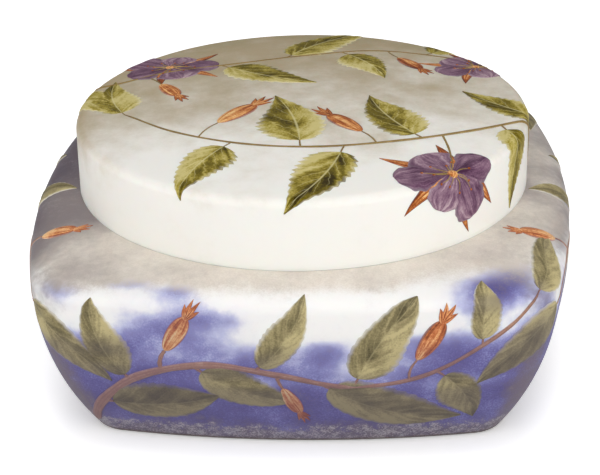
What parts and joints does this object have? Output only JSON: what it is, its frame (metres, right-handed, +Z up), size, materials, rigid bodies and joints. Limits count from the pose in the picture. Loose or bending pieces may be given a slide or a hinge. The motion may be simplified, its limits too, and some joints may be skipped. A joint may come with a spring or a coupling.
{
  "type": "lidded glass box",
  "caption": "Square cushion-shaped cameo glass box with a round mouth and a low-domed round lid that drops over its collar, both carrying raised leaf and flower sprays.",
  "frame": {"origin": "centre of the foot's underside, on the surface that the box stands on", "axes": "+Z up along the axis of the round lid; +X and +Y square to the flat sides of the base; the pictured front looks along +Y from the -Y side"},
  "size_m": [0.1468, 0.1468, 0.0745],
  "materials": {
    "clouded_glass": "satin, acid-etched, blue and violet powder clouding into warm grey and white",
    "ivory_glass": "satin, acid-etched, opaque ivory white",
    "leaf_glass": "satin raised relief, olive and yellow-green",
    "twig_glass": "satin raised relief, brown",
    "blossom_glass": "satin raised relief, soft purple",
    "fruit_glass": "satin raised relief, orange"
  },
  "bodies": {
    "base": {"box_base": "clouded_glass"},
    "lid": {"box_lid": "ivory_glass"}
  },
  "joints": [
    {"name": "lid_lift", "type": "slide", "parent": "base", "child": "lid", "axis": [0, 0, 1], "range_m": [0, 0.09]}
  ]
}
